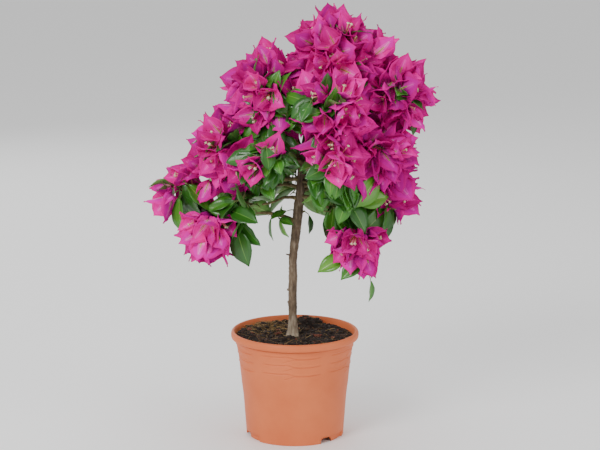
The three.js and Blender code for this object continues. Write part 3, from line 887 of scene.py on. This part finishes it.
# Shoots that stand clear of the rest, placed one by one: root, way, size, a bloom's opening, and the foot
# of the twig.
accents = {
    "blooms": [
        ((-161, -8, 325), (-0.7, -0.3, -0.6), 1.04, 1.0, (-150, 0, 332)),
        ((157, -8, 461), (0.95, -0.1, -0.12), 0.82, 0.8, (138, -4, 458)),
        ((146, -14, 440), (0.4, -0.4, -0.8), 0.95, 0.8, (138, -6, 452)),
        ((-34, -26, 501), (-0.05, -0.15, 1), 0.95, 0.62, (-34, -20, 484)),
        ((50, -8, 538), (-0.05, -0.2, 1), 0.9, 0.7, (56, 0, 524)),
        ((24, -16, 526), (-0.6, -0.35, 0.45), 0.95, 0.9, (44, -4, 520)),
        ((104, -12, 512), (0.55, -0.25, 0.7), 0.95, 0.9, (84, -6, 510)),
        ((-140, -8, 352), (-0.75, -0.3, 0.1), 0.8, 0.8, (-128, 0, 348)),
        ((-112, -14, 344), (-0.2, -0.45, -0.85), 0.85, 0.75, (-112, -4, 358)),
        ((-122, -6, 362), (-0.5, -0.5, 0.5), 0.85, 0.9, (-112, 0, 356)),
        ((-99, -38, 301), (0.5, -0.65, -0.4), 0.85, 0.8, (-92, -26, 304)),
        ((-112, -46, 300), (-0.1, -0.75, -0.5), 0.95, 0.9, (-100, -28, 302)),
        ((-122, -36, 300), (-0.65, -0.6, -0.2), 0.88, 0.8, (-112, -30, 296)),
        ((-118, -48, 279), (-0.16, -0.45, -0.85), 0.98, 0.68, (-112, -30, 288)),
        ((-101, -50, 286), (0.2, -0.55, -0.7), 0.88, 0.72, (-110, -34, 286)),
        ((68, -48, 284), (-0.75, -0.5, -0.2), 0.82, 0.8, (76, -38, 284)),
        ((80, -56, 284), (-0.15, -0.75, -0.3), 0.95, 0.95, (80, -38, 284)),
        ((96, -46, 281), (0.7, -0.5, -0.1), 0.82, 0.85, (84, -36, 280)),
        ((73, -54, 271), (-0.5, -0.6, -0.5), 0.9, 0.75, (82, -38, 268)),
        ((90, -52, 260), (0.2, -0.4, -0.9), 0.95, 0.62, (84, -38, 262)),
    ],
    "leaves": [
        ((99, -38, 219), (0.05, -0.15, -1), 0.58, (92, -38, 252)),
        ((66, -46, 252), (-0.85, -0.3, -0.35), 0.8, (78, -40, 262)),
        ((88, -44, 248), (-0.7, -0.5, -0.5), 0.76, (86, -38, 262)),
        ((-76, -34, 288), (0.25, -0.2, -0.95), 1.05, (-84, -26, 300)),
        ((-72, -30, 296), (0.5, -0.3, -0.6), 0.85, (-84, -26, 300)),
        ((-84, -40, 312), (0.6, -0.6, -0.1), 0.95, (-84, -26, 300)),
        ((-31, -4, 295), (-0.05, -0.3, -1), 0.6, (-31, 0, 298)),
        ((-20, -6, 294), (0.3, -0.4, -0.8), 0.55, (-22, 0, 296)),
        ((-10, -9, 305), (-0.7, -0.35, -0.2), 0.5, (1, 0, 304)),
        ((-16, -5, 300), (-0.15, -0.5, 0.8), 0.34, (-18, 0, 296)),
        ((-21, -7, 294), (0.8, -0.5, -0.15), 0.42, (-22, 0, 296)),
        ((18, -6, 300), (0.15, -0.3, -1), 0.52, (8, 0, 304)),
        ((-168, -4, 332), (-0.3, -0.5, 0.2), 0.5, (-152, 0, 334)),
        ((-150, -14, 326), (-0.1, -0.5, -0.9), 0.95, (-146, 0, 332)),
        ((148, -12, 436), (0.35, -0.3, -0.9), 0.6, (138, -4, 446)),
    ],
}
for tip, axis, scale, opening, foot in accents["blooms"]:
    tip, foot = Vector(tip), Vector(foot)
    axis = Vector(axis).normalized()
    blooms.append((tip, axis, scale, opening, 0.5))
    bloomCentres.append(tip + axis * shootFacts["bloomMiddle"])
    twigTubes.append(([foot, foot.lerp(tip, 0.5) + Vector((0, 0, 1.5)), tip], np.array([0.9, 0.8, 0.7]), 5))
dice = random.Random(shootFacts["seed"])
for root, way, scale, foot in accents["leaves"]:
    root, foot = Vector(root), Vector(foot)
    leaves.append(leafAt(root, Vector(way).normalized(), dice, scale, 0))
    twigTubes.append(([foot, foot.lerp(root, 0.5) + Vector((0, 0, 1)), root], np.array([0.8, 0.7, 0.6]), 5))
noise.seed_set(shootFacts["seed"])  # the boughs sway the same way each time
for index, mass in enumerate(crown):
    growMass(index, mass)


cupFacts = {"farSquared": 1700, "low": 6, "high": 38, "foot": 3, "flare": 0.42}


def inCup(spot):  # whether a place lies in the open mouth of a bloom
    for tip, axis, scale, _, _ in blooms:
        apart = spot - tip
        height = apart.dot(axis)
        far = apart.length_squared > cupFacts["farSquared"]
        if far or not cupFacts["low"] < height < cupFacts["high"] * scale:
            continue
        if (apart - axis * height).length < cupFacts["foot"] + height * cupFacts["flare"]:
            return True
    return False


def showsInCup(leaf):
    root, way, _, scale = leaf
    return any(inCup(root + way * shootFacts["leafReach"] * scale * t) for t in (0.45, 0.95))


placed = len(accents["leaves"])
leaves = leaves[:placed] + [leaf for leaf in leaves[placed:] if not showsInCup(leaf)]
print("crown grown:", len(blooms), "blooms,", len(leaves), "leaves,", len(twigTubes), "twigs", flush=True)


def tubesJoined(name, tubes):
    shapes = [arraysOf(tube(points, radii, sides)) for points, radii, sides in tubes]
    return joinedMesh(name, [(shape, Matrix.Identity(4), 0) for shape in shapes])


boughs = addPiece("boughWood", tubesJoined("boughWood", limbTubes), [boughBark])
boughNodes = [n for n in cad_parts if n.startswith("bough_")]
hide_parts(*boughNodes)
twigSkin = specked("twigSkin", (104, 112, 60), 0.6, 300)
addPiece("twigs", tubesJoined("twigs", twigTubes), [twigSkin])


# A bract is a thin shell of small faces, each with the finish of its zone, and so is a leaf: "across" is
# where the lines along it run, "outline" how wide it is from foot to tip, and "shapes" holds the curl, cup
# and wave of each kind.
bractFacts = {
    "length": 42.5,
    "halfWidth": 17.6,
    "thick": 0.42,
    "fold": 1.2,
    "rows": 8,
    "across": (-1, -0.68, -0.26, -0.05, 0.05, 0.26, 0.68, 1),
    "outline": (
        (0, 0.3), (0.06, 0.68), (0.14, 0.9), (0.26, 1), (0.38, 0.98),
        (0.52, 0.82), (0.66, 0.56), (0.8, 0.28), (0.9, 0.1), (1, 0.015),
    ),
    "shapes": ((4, 4, 1.0), (1, 5, 1.4), (8, 3.2, 0.8), (-4, 4.4, 1.6)),
    "flare": (24, 42),  # in degrees from the way the bloom looks
    "odd": 0.3,  # the share that don't have their bloom's tint
    "seed": 21,
}
leafFacts = {
    "length": 46,
    "halfWidth": 14.5,
    "thick": 0.4,
    "fold": 2.2,
    "rows": 8,
    "across": (-1, -0.55, -0.045, 0.045, 0.55, 1),
    "outline": (
        (0, 0.1), (0.1, 0.58), (0.24, 0.94), (0.38, 1), (0.54, 0.88), (0.72, 0.58), (0.87, 0.24), (1, 0.02),
    ),
    "shapes": ((-7, 2.2, 0.5), (-3, 3.4, 1.0), (-12, 1.4, 0.4)),
    "stalk": 5,
    "shade": 375,  # the height from which the blossom keeps the leaves in the dark
}


def bladeTemplate(facts, shape, zones, backShift):
    curl, cup, wave = shape
    places, widths = zip(*facts["outline"])
    last = len(facts["across"]) - 1
    bm = bmesh.new()
    bmesh.ops.create_grid(bm, x_segments=facts["rows"], y_segments=last, size=1)
    for vert in bm.verts:
        along = (vert.co.x + 1) / 2
        side = facts["across"][round((vert.co.y + 1) / 2 * last)]
        half = facts["halfWidth"] * float(np.interp(along, places, widths))
        forward = 0.1 * abs(side) * math.sin(math.pi * along)
        forward -= 0.05 * abs(side) * (1 - smooth(0, 0.3, along))
        lift = cup * side**2 * math.sin(math.pi * min(1, along * 1.15)) + curl * along**2.4
        lift += facts["fold"] * abs(side) * (1 - along)
        lift += wave * abs(side) ** 1.5 * math.sin(along * 15 + side * 2.2 + wave * 3)
        vert.co = ((along + forward) * facts["length"], side * half, lift)
    for face in bm.faces:
        spot = [sum(values) / 4 for values in zip(*(v.co[:] for v in face.verts))]
        along = spot[0] / facts["length"]
        half = facts["halfWidth"] * float(np.interp(min(1, along), places, widths))
        face.material_index = zones(along, abs(spot[1]) / max(0.3, half))
    bmesh.ops.recalc_face_normals(bm, faces=bm.faces)
    if sum(f.normal.z for f in bm.faces) < 0:
        bmesh.ops.reverse_faces(bm, faces=bm.faces)
    bmesh.ops.solidify(bm, geom=bm.faces[:], thickness=facts["thick"])
    bmesh.ops.recalc_face_normals(bm, faces=bm.faces)
    for face in bm.faces:
        if face.normal.z < -0.15:
            face.material_index += backShift
    return arraysOf(bm)


def bractZones(along, side):  # 0 field, 1 edge, 2 pale streak, 3 green rib, 4 veined
    if side < 0.1:
        return 3 if along < 0.48 else 2 if along < 0.8 else 4 if along < 0.9 else 0
    if side < 0.3:
        return 2 if along < 0.36 else 4 if along < 0.75 else 0
    if side < 0.7:
        return 4 if along < 0.24 else 0 if along < 0.85 else 1
    return 0 if along < 0.36 else 1


def leafZones(along, side):  # 0 field, 1 edge, 2 rib
    if side < 0.06:
        return 2 if along < 0.9 else 0
    return 1 if side > 0.6 else 0


bractShapes = [bladeTemplate(bractFacts, shape, bractZones, 5) for shape in bractFacts["shapes"]]
leafShapes = [bladeTemplate(leafFacts, shape, leafZones, 3) for shape in leafFacts["shapes"]]

# Each tint of a bract has field, edge, streak, rib and veined, and each tint of a leaf field, edge and rib.
bractTints = [
    [(222, 0, 154), (208, 0, 134), (240, 96, 190), (182, 176, 88), (236, 36, 174)],
    [(196, 0, 132), (180, 0, 114), (222, 72, 164), (158, 156, 70), (210, 14, 144)],
    [(240, 0, 170), (226, 0, 150), (250, 130, 206), (196, 190, 104), (246, 66, 192)],
]
bractBacks = [
    [(210, 0, 162), (208, 0, 142), (232, 108, 192), (168, 180, 88), (224, 56, 180)],
    [(186, 0, 142), (184, 0, 124), (208, 80, 168), (146, 160, 72), (198, 34, 156)],
    [(226, 10, 176), (222, 0, 156), (244, 140, 208), (184, 196, 104), (236, 84, 192)],
]
leafTints = [
    [(66, 128, 34), (56, 116, 30), (116, 162, 68)],
    [(44, 100, 28), (38, 90, 24), (90, 140, 54)],
    [(94, 152, 44), (82, 140, 38), (138, 178, 80)],
]
leafBacks = [
    [(104, 152, 74), (96, 144, 66), (138, 176, 100)],
    [(82, 130, 58), (74, 120, 52), (116, 156, 82)],
    [(126, 168, 84), (116, 160, 76), (156, 190, 112)],
]


def bladeFinishes(name, faces, backs, roughness, veins, **plain):
    made = []
    for t, (face, back) in enumerate(zip(faces, backs)):
        for z, colour in enumerate(face + back):
            rough = roughness + (0.12 if z >= len(face) else 0)
            finish = Finish(f"{name}{t}{z}", linear(*colour), rough, **plain)
            finish.bump(finish.cloud(veins, 3, 0.6), 0.35, 0.0006)
            made.append(finish.material)
    return made


dice = random.Random(bractFacts["seed"])
bractCopies = [[], [], []]
for number, (tip, axis, scale, opening, turn) in enumerate(blooms):
    tint = dice.choice((0, 0, 1, 1, 2)) * 10
    if number < 3:  # those that stand alone are the palest
        tint = 20
    for k in range(3):
        flare = math.radians(dice.uniform(*bractFacts["flare"])) * opening
        way = leaning(axis, flare, turn + k * math.tau / 3 + dice.uniform(-0.15, 0.15))
        root = tip - axis * 1.5
        size = scale * dice.uniform(0.92, 1.06)
        place = aimed(root, way, axis, size)
        own = dice.choice((0, 10, 20)) if dice.random() < bractFacts["odd"] else tint
        bractCopies[number % 3].append((dice.choice(bractShapes), place, own))

bractFinishes = bladeFinishes("bract", bractTints, bractBacks, 0.66, 260, Specular_IOR_Level=0.06)
blossomNodes = [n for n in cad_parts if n.startswith("blossom_")]
for part, copies in enumerate(bractCopies):
    name = f"bracts{part + 1}"
    piece = addPiece(name, joinedMesh(name, copies), bractFinishes)
    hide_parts(*blossomNodes)


# The true flowers are small cream tubes in the middle of the bracts, each with a star of five points.
flowerFacts = {
    "tube": 22,
    "tubeRadii": (0.9, 1.1),
    "star": 1.4,
    "starRadii": (1.0, 3.0),
    "many": (0, 1, 1, 2, 3),
}


def flowerTemplate():
    top = flowerFacts["tube"]
    bm = bmesh.new()
    low, high = flowerFacts["tubeRadii"]
    place = Matrix.Translation((0, 0, top / 2))
    bmesh.ops.create_cone(bm, cap_ends=True, segments=6, radius1=low, radius2=high, depth=top, matrix=place)
    low, high = flowerFacts["starRadii"]
    place = Matrix.Translation((0, 0, top + 0.5))
    star = bmesh.ops.create_cone(
        bm, cap_ends=True, segments=10, radius1=low, radius2=high, depth=flowerFacts["star"], matrix=place,
    )
    for i, vert in enumerate(sorted(star["verts"], key=lambda v: (v.co.z, math.atan2(v.co.y, v.co.x)))):
        if vert.co.z > top + 0.6 and i % 2:
            vert.co.x *= 0.6
            vert.co.y *= 0.6
    for face in bm.faces:
        if face.calc_center_median().z > top + 0.2:
            face.material_index = 1
    bm.transform(Matrix.Rotation(math.pi / 2, 4, "Y"))
    return arraysOf(bm)


flowerShape = flowerTemplate()
flowerCopies = []
for tip, axis, scale, opening, turn in blooms:
    for k in range(dice.choice(flowerFacts["many"])):
        way = leaning(axis, math.radians(dice.uniform(4, 14)), turn + k * 2.1)
        flowerCopies.append((flowerShape, aimed(tip, way, leaning(axis, math.pi / 2, turn), scale), 0))
flowerFinishes = [
    specked("flowerTube", (218, 150, 136), 0.6, 600),
    specked("flowerStar", (255, 248, 200), 0.6, 600),
]
addPiece("flowers", joinedMesh("flowers", flowerCopies), flowerFinishes)

leafCopies = []
petioles = []
for root, way, face, scale in leaves:
    base = root + way * (leafFacts["stalk"] * scale)
    tint = dice.choice((0, 1, 1, 1) if root.z > leafFacts["shade"] else (0, 0, 0, 0, 1, 1, 1, 2))
    leafCopies.append((dice.choice(leafShapes), aimed(base, way, face, scale), tint * 6))
    petioles.append(([root, base + way * 2.5], np.array([0.6, 0.45]), 4))
leafFinishes = bladeFinishes("leaf", leafTints, leafBacks, 0.3, 140, Specular_IOR_Level=0.5)
leafNodes = [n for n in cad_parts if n.startswith("leaves_")]
leafPiece = addPiece("leaves", joinedMesh("leaves", leafCopies), leafFinishes)
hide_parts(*leafNodes)
stalkFinish = specked("leafStalk", (120, 140, 76), 0.55, 400)
addPiece("leafStalks", tubesJoined("leafStalks", petioles), [stalkFinish])
print("blossom and leaves done")
